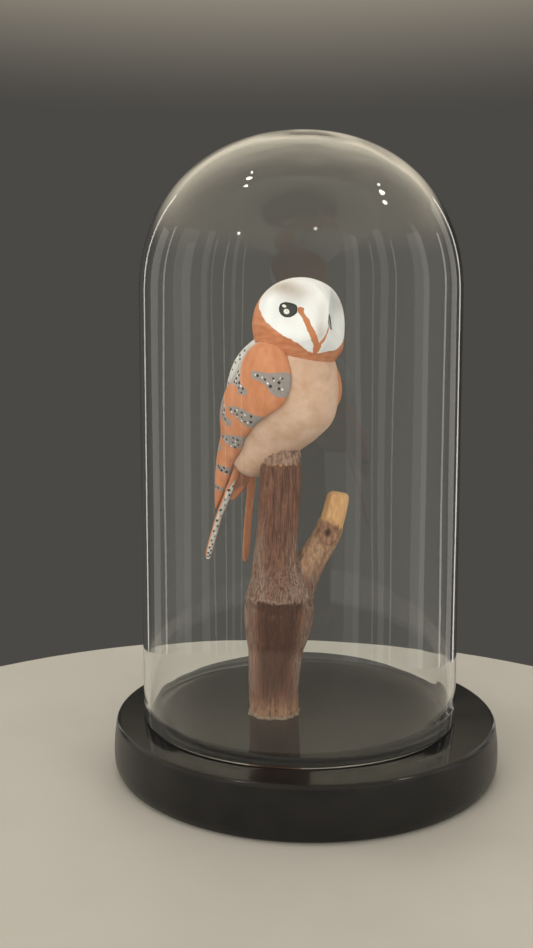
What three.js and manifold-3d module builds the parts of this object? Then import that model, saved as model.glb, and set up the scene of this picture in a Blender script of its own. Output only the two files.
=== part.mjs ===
// A hand-painted barn owl figurine on a twig, kept under a lift-off glass dome on a turned base.
// Millimetres, +Z up, origin at the centre of the base's underside.
import * as THREE from "three";
import { mergeVertices } from "three/addons/utils/BufferGeometryUtils.js";
import Module from "manifold-3d";

const wasm = await Module();
wasm.setup();

// ---------------------------------------------------------------- driving dimensions

const GAP = 0.3; // clearance between neighbouring pieces
const TURNED_SEGMENTS = 48;

const BASE = {
  height: 22, // top of the ledge that the glass stands on
  // radius and height up its moulded side
  side: [
    [83.2, 0],
    [84.7, 3.1],
    [85, 6.6],
    [84.85, 13.2],
    [83.8, 20.8],
    [82.6, 22],
  ],
  plateauRadius: 62, // the raised disc inside the glass
  plateauHeight: 2.5,
  plateauEase: 0.6,
};
const PLATEAU_TOP = BASE.height + BASE.plateauHeight;

const DOME = {
  radius: 69.3,
  wall: 3,
  top: 271.8,
  crownHeight: 67.85, // from the cylinder's end to the top
  crownPower: 2.19, // a superellipse a little fuller than a hemisphere
  offsetX: -2.65, // it stands a little off the base's centre
  lipRadius: 0.9,
  crownSteps: 8,
};

const TWIG = {
  sides: 26,
  depth: -12, // y of its axis
  // height, centre x, radius
  stations: [
    [PLATEAU_TOP, -14.0, 10.3],
    [38, -14.0, 10.7],
    [50, -13.4, 11.3],
    [58, -12.8, 12.9],
    [66, -12.0, 14.2],
    [74, -11.5, 14.4],
    [81, -11.9, 12.9],
    [89, -12.9, 10.1],
    [100, -12.8, 8.9],
    [112, -12.0, 8.6],
    [128, -11.2, 8.6],
    [141.5, -10.6, 8.2],
  ],
};

// The ridges that run up the bark: two waves round the limb that twist as they climb.
const BARK = {
  depth: 0.035, // share of the limb's radius
  broadRidges: 7,
  broadShare: 0.65,
  broadTwist: 0.036, // radians a millimetre
  fineRidges: 11,
  fineTwist: -0.06,
};

const STUB = {
  sides: 20,
  phase: 6, // radians that its ridges are turned from the twig's
  // x, y, z, radius
  stations: [
    [-9.0, -11.5, 66.0, 7.0],
    [-4.8, -11.0, 75.5, 6.8],
    [-0.6, -10.5, 85.6, 6.5],
    [4.1, -10.0, 94.2, 6.1],
    [8.3, -9.5, 101.0, 5.8],
    [11.2, -9.0, 108.3, 5.5],
    [13.0, -8.6, 115.2, 5.3],
    [13.9, -8.4, 119.2, 4.9],
    [14.2, -8.3, 121.0, 3.4],
  ],
};

const OWL = {
  x: -10, // it is set over the twig's top
  y: -12,
  z: 139,
  heading: 47, // degrees that it faces to the right of the -Y direction
  lean: 33, // degrees that the trunk's axis leans forward from upright
  rumpForward: -20.6, // where the trunk's axis starts
  rumpUp: -6,
};

const TRUNK = {
  start: -5.5,
  end: 64,
  roundStart: 7,
  roundEnd: 8,
  // square to its axis: distance along it, reach towards the belly, reach towards the back, half width
  sections: [
    [-5, 8.4, -7.0, 8.0],
    [8, 14.6, -13.0, 12.5],
    [18, 18.6, -18.0, 16.5],
    [28, 23.4, -20.8, 19.0],
    [38, 26.0, -22.0, 19.8],
    [48, 22.4, -21.6, 18.8],
    [57, 15.8, -18.4, 16.0],
    [64, 12.0, -15.5, 12.6],
  ],
  mantleLift: 3.0, // the back between the wings stands up to their rear edges
  mantleGap: 5, // degrees between a wing's rear edge and the mantle
  mantleEdge: 12, // degrees over which it rises from a wing's rear edge
  napeFade: [38, 55], // along the axis, where it sinks back to the neck
  rings: 20,
  sides: 32,
};

// The form that a folded wing lies on: the trunk, then the root of the tail below it.
const UNDER_WING = [
  [-27, 1.8, -3.8, 3.2],
  [-19, 1.8, -5.9, 4.8],
  [-10, 2.6, -8.6, 7.2],
  [-1, 6.5, -11.2, 9.4],
  ...TRUNK.sections.slice(1),
];

const WING = {
  shoulder: 59.5,
  tip: -27.5,
  leftShorter: 3.5, // the left wing's tip stops this much higher
  leftLower: 4.5, // and its shoulder this much lower
  roundShoulder: 10,
  roundTip: 12,
  // distance along the trunk's axis, front edge and rear edge in degrees round from the belly, thickness
  outline: [
    [-28, 80, 124, 1.0],
    [-19, 70, 150, 1.8],
    [-9, 64, 166, 2.3],
    [-1, 75, 170, 2.6],
    [5, 81, 168, 2.8],
    [12, 78, 156, 3.0],
    [20, 73, 142, 3.2],
    [28, 69, 132, 3.4],
    [35, 63, 126, 3.4],
    [43, 54, 124, 3.3],
    [51, 53, 123, 3.1],
    [59.5, 56, 116, 2.6],
  ],
  clearance: 0.5, // from the body to the wing's inner face
  rim: 0.6, // thickness of its edge
  fullness: 0.4, // less is flatter across the middle and steeper at the edges
  lengthSteps: 18,
  widthSteps: 9,
};

const HEAD = {
  forward: 9.2,
  left: 0.5,
  up: 52.6,
  turn: -16, // degrees, towards the owl's right
  roll: -10, // degrees, its crown towards its left
  depth: 19.4, // half sizes of the rounded head
  width: 20.3,
  height: 19.2, // above its middle
  chin: 21.2, // below it
  // the hollow disc round each eye; the two meet in a ridge down to the bill
  discTurn: 40, // degrees from straight ahead to its middle
  discRise: 6, // degrees from level to its middle
  discDepth: 6,
  discOuter: 45, // degrees from its middle to its edge: outwards, upwards and downwards
  discUp: 52,
  discDown: 36,
  billHeight: 1.2, // the bill stands out from the ridge
  billRise: -27, // degrees
  billWide: 9,
  billTall: 13,
  rings: 18,
  sides: 28,
};

const TAIL = {
  // forward, left, up of the left prong's middle line, half breadth, half thickness
  prong: [
    [-19.5, 2.8, 2.0, 4.2, 1.6],
    [-21.8, 3.9, -6.0, 3.6, 1.5],
    [-23.6, 5.1, -12.0, 2.7, 1.2],
    [-26.3, 6.8, -20.0, 2.3, 1.0],
    [-29.8, 8.9, -30.0, 2.2, 0.9],
    [-32.5, 10.6, -40.0, 2.2, 0.9],
    [-34.1, 11.5, -46.5, 1.9, 0.9],
    [-34.7, 11.8, -49.5, 0.8, 0.7],
  ],
  leftLonger: 1.09,
  // the web between the prongs, down to the fork
  web: [
    [-20.5, 0, 1.0, 5.0, 1.4],
    [-22.6, 0, -9.0, 5.6, 1.4],
    [-24.2, 0, -14.0, 5.6, 1.2],
    [-25.2, 0, -17.0, 4.4, 0.7],
  ],
  sides: 12,
};

// ---------------------------------------------------------------- small tools

const degrees = THREE.MathUtils.degToRad;

// A smooth curve through the rows of a table, read at x in its first, rising column.
function readTable(table, x) {
  const last = table.length - 1;
  let i = 0;
  while (i < last - 1 && x > table[i + 1][0]) i += 1;
  const [a, b] = [table[i], table[i + 1]];
  const before = table[Math.max(i - 1, 0)];
  const after = table[Math.min(i + 2, last)];
  const span = b[0] - a[0];
  const t = THREE.MathUtils.clamp((x - a[0]) / span, 0, 1);
  return a.slice(1).map((value, k) => {
    const next = b[k + 1];
    const slopeA = (span * (next - before[k + 1])) / (b[0] - before[0]);
    const slopeB = (span * (after[k + 1] - value)) / (after[0] - a[0]);
    return (
      value * (2 * t ** 3 - 3 * t ** 2 + 1) +
      slopeA * (t ** 3 - 2 * t ** 2 + t) +
      next * (3 * t ** 2 - 2 * t ** 3) +
      slopeB * (t ** 3 - t ** 2)
    );
  });
}

function indexed(points, triangles) {
  const geometry = new THREE.BufferGeometry();
  const flat = points.flatMap((p) => [p.x, p.y, p.z]);
  geometry.setAttribute("position", new THREE.Float32BufferAttribute(flat, 3));
  geometry.setIndex(triangles);
  return geometry;
}

// The directions of equally many sides round a ring, in radians.
function turnsOf(sides) {
  return Array.from({ length: sides }, (_, s) => (2 * Math.PI * s) / sides);
}

// Steps between start and end, closer together near both.
function easedSteps(start, end, count) {
  return Array.from({ length: count - 1 }, (_, i) => {
    const share = (1 - Math.cos((Math.PI * (i + 1)) / count)) / 2;
    return start + (end - start) * share;
  });
}

// 1 along most of a length, falling to 0 round both of its ends.
function closing(along, { start, end, roundStart, roundEnd }) {
  const low = Math.max(0, 1 - (along - start) / roundStart);
  const high = Math.max(0, 1 - (end - along) / roundEnd);
  return Math.sqrt(1 - low ** 2) * Math.sqrt(1 - high ** 2);
}

// A closed skin over rings of equally many points, closed by a fan at each end.
function skin(rings) {
  const sides = rings[0].length;
  const points = rings.flat();
  const triangles = [];
  const at = (ring, side) => ring * sides + (side % sides);
  for (let r = 0; r + 1 < rings.length; r += 1) {
    for (let s = 0; s < sides; s += 1) {
      triangles.push(at(r, s), at(r, s + 1), at(r + 1, s + 1));
      triangles.push(at(r, s), at(r + 1, s + 1), at(r + 1, s));
    }
  }
  for (const [ring, flip] of [[0, true], [rings.length - 1, false]]) {
    const middle = rings[ring]
      .reduce((sum, p) => sum.add(p), new THREE.Vector3())
      .divideScalar(sides);
    const centre = points.push(middle) - 1;
    for (let s = 0; s < sides; s += 1) {
      const [p, q] = flip ? [s + 1, s] : [s, s + 1];
      triangles.push(centre, at(ring, p), at(ring, q));
    }
  }
  return indexed(points, triangles);
}

function solidOf(geometry) {
  const bare = new THREE.BufferGeometry();
  bare.setAttribute("position", geometry.getAttribute("position"));
  bare.setIndex(geometry.index);
  const merged = mergeVertices(bare, 1e-3);
  const solid = new wasm.Manifold(
    new wasm.Mesh({
      numProp: 3,
      vertProperties: merged.attributes.position.array,
      triVerts: new Uint32Array(merged.index.array),
    }),
  );
  if (solid.volume() < 0) throw new Error("a solid is inside out");
  return solid;
}

function geometryOf(solid) {
  const { vertProperties, triVerts, numProp } = solid.getMesh();
  const points = [];
  for (let i = 0; i < vertProperties.length; i += numProp) {
    points.push(new THREE.Vector3().fromArray(vertProperties, i));
  }
  return indexed(points, [...triVerts]);
}

function mesh(name, geometry, color, roughness, metalness = 0) {
  geometry.computeVertexNormals();
  const material = new THREE.MeshStandardMaterial({ color, roughness, metalness });
  const made = new THREE.Mesh(geometry, material);
  made.name = name;
  return made;
}

// ---------------------------------------------------------------- base and dome

function lathe(profile) {
  const outline = profile.map(([radius, height]) => new THREE.Vector2(radius, height));
  return new THREE.LatheGeometry(outline, TURNED_SEGMENTS).rotateX(Math.PI / 2);
}

function makeBase() {
  const { side, height, plateauRadius, plateauEase } = BASE;
  return lathe([
    [0, 0],
    ...side,
    [plateauRadius + plateauEase, height],
    [plateauRadius, height + plateauEase],
    [plateauRadius, PLATEAU_TOP - plateauEase],
    [plateauRadius - plateauEase, PLATEAU_TOP],
    [0, PLATEAU_TOP],
  ]);
}

// The dome's profile at a distance inside its outer face, from the end of the cylinder up to the axis.
function crownProfile(inset) {
  const { radius, top, crownHeight, crownPower, crownSteps } = DOME;
  const points = [];
  for (let i = 0; i < crownSteps; i += 1) {
    const turn = (Math.PI / 2) * (i / crownSteps);
    const out = (radius - inset) * Math.cos(turn) ** (2 / crownPower);
    const up = (crownHeight - inset) * Math.sin(turn) ** (2 / crownPower);
    points.push([out, top - crownHeight + up]);
  }
  return [...points, [0, top - inset]];
}

function makeDome() {
  const { radius, wall, lipRadius } = DOME;
  const foot = BASE.height;
  return lathe([
    ...crownProfile(wall).reverse(),
    [radius - wall, foot + lipRadius],
    [radius - wall + lipRadius, foot],
    [radius - lipRadius, foot],
    [radius, foot + lipRadius],
    ...crownProfile(0),
  ]);
}

// ---------------------------------------------------------------- the twig

// The share of its radius at which a limb's bark stands.
function barkReach(turn, height, phase = 0) {
  const { depth, broadRidges, broadShare, broadTwist, fineRidges, fineTwist } = BARK;
  const broad = Math.cos(broadRidges * turn + broadTwist * height + phase);
  const fine = Math.cos(fineRidges * turn + fineTwist * height - phase);
  return 1 + depth * (broadShare * broad + (1 - broadShare) * fine);
}

// The table with each stretch between rows divided into equal steps, read smoothly.
function densify(table, steps) {
  const rows = [];
  for (let i = 0; i + 1 < table.length; i += 1) {
    for (let k = 0; k < steps; k += 1) {
      const at = THREE.MathUtils.lerp(table[i][0], table[i + 1][0], k / steps);
      rows.push([at, ...readTable(table, at)]);
    }
  }
  rows.push(table[table.length - 1]);
  return rows;
}

function makeTwig() {
  return skin(
    densify(TWIG.stations, 2).map(([height, x, radius]) =>
      turnsOf(TWIG.sides).map((turn) => {
        const reach = radius * barkReach(turn, height);
        const across = x + reach * Math.cos(turn);
        return new THREE.Vector3(across, TWIG.depth + reach * Math.sin(turn), height);
      }),
    ),
  );
}

// A limb through stations of x, y, z and sizes; section() gives a ring's offset across and through it.
function limb(stations, sides, across, section) {
  const path = stations.map(([x, y, z]) => new THREE.Vector3(x, y, z));
  return skin(
    path.map((centre, i) => {
      const along = path[Math.min(i + 1, path.length - 1)]
        .clone()
        .sub(path[Math.max(i - 1, 0)])
        .normalize();
      const side = across.clone().addScaledVector(along, -across.dot(along)).normalize();
      const through = along.clone().cross(side);
      return turnsOf(sides).map((turn) => {
        const [a, b] = section(stations[i], turn);
        return centre.clone().addScaledVector(side, a).addScaledVector(through, b);
      });
    }),
  );
}

function makeStub() {
  const { stations, sides, phase } = STUB;
  return limb(stations, sides, new THREE.Vector3(1, 0, 0), ([, , z, radius], turn) => {
    const reach = radius * barkReach(turn, z, phase);
    return [reach * Math.cos(turn), reach * Math.sin(turn)];
  });
}

// ---------------------------------------------------------------- the owl, in its own frame:
// x forward, y to its left, z up from the twig's top

const lean = degrees(OWL.lean);
const trunkAxis = new THREE.Vector3(Math.sin(lean), 0, Math.cos(lean));
const bellyward = new THREE.Vector3(Math.cos(lean), 0, -Math.sin(lean));
const trunkStart = new THREE.Vector3(OWL.rumpForward, 0, OWL.rumpUp);

// A point at a distance along the trunk's axis, out towards the belly and to the owl's left.
function bodyPoint(along, out, left) {
  return trunkStart
    .clone()
    .addScaledVector(trunkAxis, along)
    .addScaledVector(bellyward, out)
    .add(new THREE.Vector3(0, left, 0));
}

// How far the mantle stands above the plain trunk.
function mantleLift(along, turn) {
  const [, rear] = readTable(WING.outline, along);
  const past = Math.abs(Math.PI - turn);
  const edge = Math.PI - degrees(rear + TRUNK.mantleGap);
  const rise = THREE.MathUtils.smoothstep(edge - past, 0, degrees(TRUNK.mantleEdge));
  return TRUNK.mantleLift * rise * (1 - THREE.MathUtils.smoothstep(along, ...TRUNK.napeFade));
}

function makeTrunk(grow = 0) {
  const { start, end, sections, rings, sides } = TRUNK;
  return skin(
    easedSteps(start, end, rings).map((along) => {
      const close = closing(along, TRUNK);
      const [belly, back, halfWidth] = readTable(sections, along);
      return turnsOf(sides).map((turn) => {
        const lift = mantleLift(along, turn) * close + grow;
        const reach = ((belly - back) / 2) * close + lift;
        const out = (belly + back) / 2 + reach * Math.cos(turn);
        return bodyPoint(along, out, (halfWidth * close + lift) * Math.sin(turn));
      });
    }),
  );
}

// A folded wing: a shell that lies on the body, thickest along its middle. The side is 1 for the owl's left
// and -1 for its right. A turn runs from the belly (0) over the owl's side to the back (pi).
function makeWing(side, grow = 0) {
  const { outline, clearance, rim, fullness, lengthSteps, widthSteps } = WING;
  const span = {
    start: WING.tip + (side > 0 ? WING.leftShorter : 0),
    end: WING.shoulder - (side > 0 ? WING.leftLower : 0),
    roundStart: WING.roundTip,
    roundEnd: WING.roundShoulder,
  };
  const rings = easedSteps(span.start, span.end, lengthSteps).map((along) => {
    const [front, rear, thickness] = readTable(outline, along);
    const [belly, back, halfWidth] = readTable(UNDER_WING, along);
    const close = closing(along, span);
    const outer = [];
    const inner = [];
    for (let k = 0; k <= widthSteps; k += 1) {
      const across = -Math.cos((Math.PI * k) / widthSteps);
      const turn = degrees((front + rear) / 2 + ((rear - front) / 2) * close * across);
      const lift = thickness * Math.sqrt(close) * (1 - across ** 2) ** fullness;
      const place = (height) => {
        const out = (belly + back) / 2 + ((belly - back) / 2 + height) * Math.cos(turn);
        return bodyPoint(along, out, side * (halfWidth + height) * Math.sin(turn));
      };
      outer.push(place(clearance + rim + lift + grow));
      inner.push(place(clearance - grow));
    }
    const ring = [...outer, ...inner.reverse()];
    return side > 0 ? ring : ring.reverse();
  });
  return skin(rings);
}

// How far the face is hollowed in a direction given by its turn to the left and its rise.
function faceHollow(turn, rise) {
  const { discTurn, discRise, discDepth, discOuter, discUp, discDown } = HEAD;
  const outward = Math.abs(turn) - discTurn;
  const across = outward / (outward > 0 ? discOuter : discTurn);
  const up = (rise - discRise) / (rise > discRise ? discUp : discDown);
  const inside = Math.max(0, 1 - across ** 2 - up ** 2);
  const soft = THREE.MathUtils.smoothstep(Math.abs(turn) / discTurn, 0, 1);
  return discDepth * inside ** (1 + soft);
}

// How far the bill and the ridge above it stand out.
function billLift(turn, rise) {
  const { billHeight, billRise, billWide, billTall } = HEAD;
  return billHeight * Math.exp(-((turn / billWide) ** 2) - ((rise - billRise) / billTall) ** 2);
}

// The distance from the head's middle to its surface.
function headReach({ x, y, z }, grow) {
  const height = z > 0 ? HEAD.height : HEAD.chin;
  const round = 1 / Math.hypot(x / HEAD.depth, y / HEAD.width, z / height);
  const turn = THREE.MathUtils.radToDeg(Math.atan2(y, x));
  const rise = THREE.MathUtils.radToDeg(Math.asin(z));
  return round - faceHollow(turn, rise) + billLift(turn, rise) + grow;
}

function makeHead(grow = 0) {
  const { rings, sides } = HEAD;
  return skin(
    easedSteps(-1, 1, rings).map((rise) => {
      const out = Math.sqrt(1 - rise ** 2);
      return turnsOf(sides).map((turn) => {
        const direction = new THREE.Vector3(out * Math.cos(turn), out * Math.sin(turn), rise);
        return direction.multiplyScalar(headReach(direction, grow));
      });
    }),
  );
}

function makeTail(grow = 0) {
  const across = new THREE.Vector3(0, 1, 0);
  const flat = ([, , , breadth, thickness], turn) => [
    (breadth + grow) * Math.cos(turn),
    (thickness + grow) * Math.sin(turn),
  ];
  const prongs = [1, -1].map((side) => {
    const stretch = side > 0 ? TAIL.leftLonger : 1;
    const stations = TAIL.prong.map(([x, y, z, ...sizes]) => [x, y * side, z * stretch, ...sizes]);
    return solidOf(limb(stations, TAIL.sides, across, flat));
  });
  const web = solidOf(limb(TAIL.web, TAIL.sides, across, flat));
  return geometryOf(prongs[0].add(prongs[1]).add(web));
}

// ---------------------------------------------------------------- assembly

const stand = new THREE.Group();
stand.add(mesh("base", makeBase(), 0x0c0c0d, 0.35));

const dome = mesh("glass_dome", makeDome(), 0xe8f0f0, 0.02);
dome.position.x = DOME.offsetX;
dome.material.transparent = true;
dome.material.opacity = 0.25;
stand.add(dome);

const owl = new THREE.Group();
owl.position.set(OWL.x, OWL.y, OWL.z);
owl.rotation.z = degrees(OWL.heading - 90);
owl.updateMatrix();

const headGroup = new THREE.Group();
headGroup.position.set(HEAD.forward, HEAD.left, HEAD.up);
headGroup.rotation.set(degrees(HEAD.roll), 0, degrees(HEAD.turn), "ZYX");
headGroup.updateMatrix();

const placedHead = (grow) => solidOf(makeHead(grow).applyMatrix4(headGroup.matrix));
const headCut = placedHead(GAP);

const trunk = solidOf(makeTrunk()).subtract(headCut);
const trunkCut = solidOf(makeTrunk(GAP));
const wings = [-1, 1].map((side) =>
  solidOf(makeWing(side)).subtract(headCut).subtract(trunkCut),
);
const wingCuts = [-1, 1].map((side) => solidOf(makeWing(side, GAP)));
const tail = wingCuts.reduce(
  (rest, cut) => rest.subtract(cut),
  solidOf(makeTail()).subtract(trunkCut),
);

headGroup.add(mesh("owl_head", makeHead(), 0xeeeae2, 0.5));
owl.add(headGroup);
owl.add(mesh("owl_trunk", geometryOf(trunk), 0xd8b494, 0.55));
owl.add(mesh("owl_wing_right", geometryOf(wings[0]), 0xd08a62, 0.5));
owl.add(mesh("owl_wing_left", geometryOf(wings[1]), 0xd08a62, 0.5));
owl.add(mesh("owl_tail", geometryOf(tail), 0xc98055, 0.5));
stand.add(owl);

const belly = solidOf(makeTrunk(GAP).applyMatrix4(owl.matrix));
const branch = solidOf(makeTwig()).add(solidOf(makeStub())).subtract(belly);
stand.add(mesh("perch_branch", geometryOf(branch), 0x6f5243, 0.85));

export default stand;
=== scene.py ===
"""A hand-painted barn owl figurine on a twig, on a black turned base under a glass dome."""
import math

import bpy
import numpy as np
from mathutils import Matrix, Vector, noise


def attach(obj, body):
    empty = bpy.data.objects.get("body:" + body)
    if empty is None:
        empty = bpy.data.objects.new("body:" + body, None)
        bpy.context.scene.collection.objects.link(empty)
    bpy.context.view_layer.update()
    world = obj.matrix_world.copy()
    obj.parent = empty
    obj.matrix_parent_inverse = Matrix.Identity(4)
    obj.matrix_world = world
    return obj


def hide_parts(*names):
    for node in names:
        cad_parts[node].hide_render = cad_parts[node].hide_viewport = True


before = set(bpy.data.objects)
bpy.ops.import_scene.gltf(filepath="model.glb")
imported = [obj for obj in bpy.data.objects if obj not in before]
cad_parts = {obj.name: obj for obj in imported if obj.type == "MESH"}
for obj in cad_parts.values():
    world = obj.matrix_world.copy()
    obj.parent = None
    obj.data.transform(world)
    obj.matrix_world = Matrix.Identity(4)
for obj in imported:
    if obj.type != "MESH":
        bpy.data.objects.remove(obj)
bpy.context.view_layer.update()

METRES = 0.001  # shapes are worked out in millimetres

# -------- sizes, as in the CAD source

BASE_HEIGHT = 22
BASE_SIDE = [(83.2, 0), (84.7, 3.1), (85, 6.6), (84.85, 13.2), (83.8, 20.8), (82.6, 22)]
PLATEAU_RADIUS, PLATEAU_TOP, PLATEAU_EASE = 62, 24.5, 0.6
DOME_RADIUS, DOME_WALL, DOME_TOP = 69.3, 3, 271.8
CROWN_HEIGHT, CROWN_POWER, DOME_X, LIP = 67.85, 2.19, -2.65, 0.9

TWIG = [  # x, y, z, radius
    [-14, -12, 24.5, 10.3], [-14, -12, 38, 10.7], [-13.4, -12, 50, 11.3],
    [-12.8, -12, 58, 12.9], [-12, -12, 66, 14.2], [-11.5, -12, 74, 14.4],
    [-11.9, -12, 81, 12.9], [-12.9, -12, 89, 10.1], [-12.8, -12, 100, 8.9],
    [-12, -12, 112, 8.6], [-11.2, -12, 128, 8.6], [-10.6, -12, 141.5, 8.2],
]
STUB = [  # x, y, z, radius
    [-9, -11.5, 66, 7], [-4.8, -11, 75.5, 6.8], [-0.6, -10.5, 85.6, 6.5],
    [4.1, -10, 94.2, 6.1], [8.3, -9.5, 101, 5.8], [11.2, -9, 108.3, 5.5],
    [13, -8.6, 115.2, 5.3], [13.9, -8.4, 119.2, 4.9], [14.2, -8.3, 121, 3.4],
]

OWL_AT = (-10, -12, 139)
OWL_HEADING, OWL_LEAN = 47, 33  # degrees
RUMP = (-20.6, 0, -6)
TRUNK_START, TRUNK_END, TRUNK_ROUND = -5.5, 64, (7, 8)
TRUNK = [  # along the axis, reach towards the belly, towards the back, half width
    [-5, 8.4, -7, 8], [8, 14.6, -13, 12.5], [18, 18.6, -18, 16.5],
    [28, 23.4, -20.8, 19], [38, 26, -22, 19.8], [48, 22.4, -21.6, 18.8],
    [57, 15.8, -18.4, 16], [64, 12, -15.5, 12.6],
]
MANTLE_LIFT, MANTLE_GAP, MANTLE_EDGE, NAPE_FADE = 3, 5, 12, (38, 55)
MANTLE_BORDER, NAPE_FROM = 3, 52  # degrees behind the wings; along the axis
UNDER_WING = [
    [-27, 1.8, -3.8, 3.2], [-19, 1.8, -5.9, 4.8], [-10, 2.6, -8.6, 7.2], [-1, 6.5, -11.2, 9.4],
    *TRUNK[1:],
]
WING_SHOULDER, WING_TIP, LEFT_SHORTER, LEFT_LOWER = 59.5, -27.5, 3.5, 4.5
WING_ROUND, WING_CLEARANCE, WING_RIM = (12, 10), 0.5, 0.6
WING = [  # along the axis, front and rear edge in degrees round from the belly, thickness
    [-28, 80, 124, 1], [-19, 70, 150, 1.8], [-9, 64, 166, 2.3], [-1, 75, 170, 2.6],
    [5, 81, 168, 2.8], [12, 78, 156, 3], [20, 73, 142, 3.2], [28, 69, 132, 3.4],
    [35, 63, 126, 3.4], [43, 54, 124, 3.3], [51, 53, 123, 3.1], [59.5, 56, 116, 2.6],
]
HEAD_AT, HEAD_TURN, HEAD_ROLL = (9.2, 0.5, 52.6), -16, -10
HEAD_DEPTH, HEAD_WIDTH, HEAD_HEIGHT, HEAD_CHIN = 19.4, 20.3, 19.2, 21.2
DISC_TURN, DISC_RISE, DISC_DEPTH = 40, 6, 6.0
DISC_OUTER, DISC_UP, DISC_DOWN = 45, 52, 36
BILL_LIFT, BILL_RISE, BILL_WIDE, BILL_TALL = 1.2, -27, 9, 13
PRONG = [  # forward, left, up of its middle line, half breadth, half thickness
    [-19.5, 2.8, 2, 4.2, 1.6], [-21.8, 3.9, -6, 3.6, 1.5], [-23.6, 5.1, -12, 2.7, 1.2],
    [-26.3, 6.8, -20, 2.3, 1], [-29.8, 8.9, -30, 2.2, 0.9], [-32.5, 10.6, -40, 2.2, 0.9],
    [-34.1, 11.5, -46.5, 1.9, 0.9], [-34.7, 11.8, -49.5, 0.8, 0.7],
]
LEFT_LONGER = 1.09
PRONG_FACE = 111  # degrees round a prong, from its left over its front, of the face with dots
PRONG_DEGREE, PRONG_GREY_FROM = 0.028, 0.31  # millimetres to a degree; share of the length
WEB = [
    [-20.5, 0, 1, 5, 1.4], [-22.6, 0, -9, 5.6, 1.4], [-24.2, 0, -14, 5.6, 1.2],
    [-25.2, 0, -17, 4.4, 0.7],
]

# -------- small tools


def read_table(table, x):
    """Smooth curves through the rows of a table, read at x in its first column."""
    rows = np.array(table, float)
    x = np.asarray(x, float)
    i = np.clip(np.searchsorted(rows[:, 0], x) - 1, 0, len(rows) - 2)
    a, b = rows[i], rows[i + 1]
    before, after = rows[np.maximum(i - 1, 0)], rows[np.minimum(i + 2, len(rows) - 1)]
    span = (b - a)[..., :1]
    t = np.clip((x - a[..., 0]) / span[..., 0], 0, 1)[..., None]
    slope_a = span * (b - before)[..., 1:] / (b - before)[..., :1]
    slope_b = span * (after - a)[..., 1:] / (after - a)[..., :1]
    value = a[..., 1:] * (2 * t**3 - 3 * t**2 + 1) + slope_a * (t**3 - 2 * t**2 + t)
    value = value + b[..., 1:] * (3 * t**2 - 2 * t**3) + slope_b * (t**3 - t**2)
    return np.moveaxis(value, -1, 0)


def smoothstep(x, low, high):
    """0 at low rising smoothly to 1 at high, whichever of the two is the larger."""
    t = np.clip((x - low) / (high - low), 0, 1)
    return t * t * (3 - 2 * t)


def turned(points, degrees_z):
    """The points turned about the upright axis."""
    a = math.radians(degrees_z)
    x, y, z = np.moveaxis(points, -1, 0)
    return np.stack([x * math.cos(a) - y * math.sin(a), x * math.sin(a) + y * math.cos(a), z], -1)


def noise_at(points, scale, seed, stretch=(1, 1, 1)):
    """Perlin noise, about -1 to 1, at an array of points in millimetres."""
    flat = np.asarray(points, float).reshape(-1, 3) * scale * np.array(stretch) + seed
    values = [noise.noise(Vector(p)) for p in flat.tolist()]
    return np.array(values).reshape(np.shape(points)[:-1])


def unit(vectors):
    return vectors / np.linalg.norm(vectors, axis=-1, keepdims=True)


def bell(x, width):
    """1 at 0, falling off smoothly over about the width."""
    return np.exp(-((x / width) ** 2))


def segment_distance(u, v, start, end):
    """The nearest place on a segment to the points (u, v): its share along it, its distance."""
    dx, dy = end[0] - start[0], end[1] - start[1]
    share = np.clip(((u - start[0]) * dx + (v - start[1]) * dy) / (dx * dx + dy * dy), 0, 1)
    return share, np.hypot(u - start[0] - share * dx, v - start[1] - share * dy)


def polygon_distance(u, v, corners):
    """Distance from the points (u, v) to a closed outline, positive inside it."""
    ring = np.array(corners, float)
    nearest = np.full(np.shape(u), np.inf)
    inside = np.zeros(np.shape(u), bool)
    for a, b in zip(ring, np.roll(ring, -1, 0)):
        nearest = np.minimum(nearest, segment_distance(u, v, a, b)[1])
        crosses = (a[1] > v) != (b[1] > v)
        slope = (b[0] - a[0]) / (b[1] - a[1]) if b[1] != a[1] else 0.0
        inside ^= crosses & (u < a[0] + (v - a[1]) * slope)
    return np.where(inside, nearest, -nearest)


def line_distance(u, v, points):
    """Distance from the points (u, v) to a line of (u, v, half width), positive inside it."""
    deepest = np.full(np.shape(u), -np.inf)
    for a, b in zip(points, points[1:]):
        share, away = segment_distance(u, v, a, b)
        deepest = np.maximum(deepest, a[2] + share * (b[2] - a[2]) - away)
    return deepest


def add_object(name, data):
    made = bpy.data.objects.new(name, data)
    bpy.context.scene.collection.objects.link(made)
    return made


def make_object(name, points, faces, material):
    """A mesh object from points in millimetres."""
    mesh = bpy.data.meshes.new(name)
    mesh.from_pydata((np.asarray(points, float).reshape(-1, 3) * METRES).tolist(), [], faces)
    mesh.validate()
    mesh.polygons.foreach_set("use_smooth", [True] * len(mesh.polygons))
    mesh.materials.append(material)
    return add_object(name, mesh)


def band_faces(count, sides, closed=False):
    """Quads between rings of points, and from the last ring to the first where closed."""

    def at(ring, side):
        return (ring % count) * sides + side % sides

    return [
        (at(r, s), at(r, s + 1), at(r + 1, s + 1), at(r + 1, s))
        for r in range(count if closed else count - 1)
        for s in range(sides)
    ]


def ring_faces(count, sides, flip=False):
    """Quads between rings of points, closed by a fan at each end round two extra points."""
    first, last, row = count * sides, count * sides + 1, (count - 1) * sides
    faces = band_faces(count, sides)
    faces += [(first, (s + 1) % sides, s) for s in range(sides)]
    faces += [(last, row + s, row + (s + 1) % sides) for s in range(sides)]
    return [face[::-1] for face in faces] if flip else faces


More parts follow.
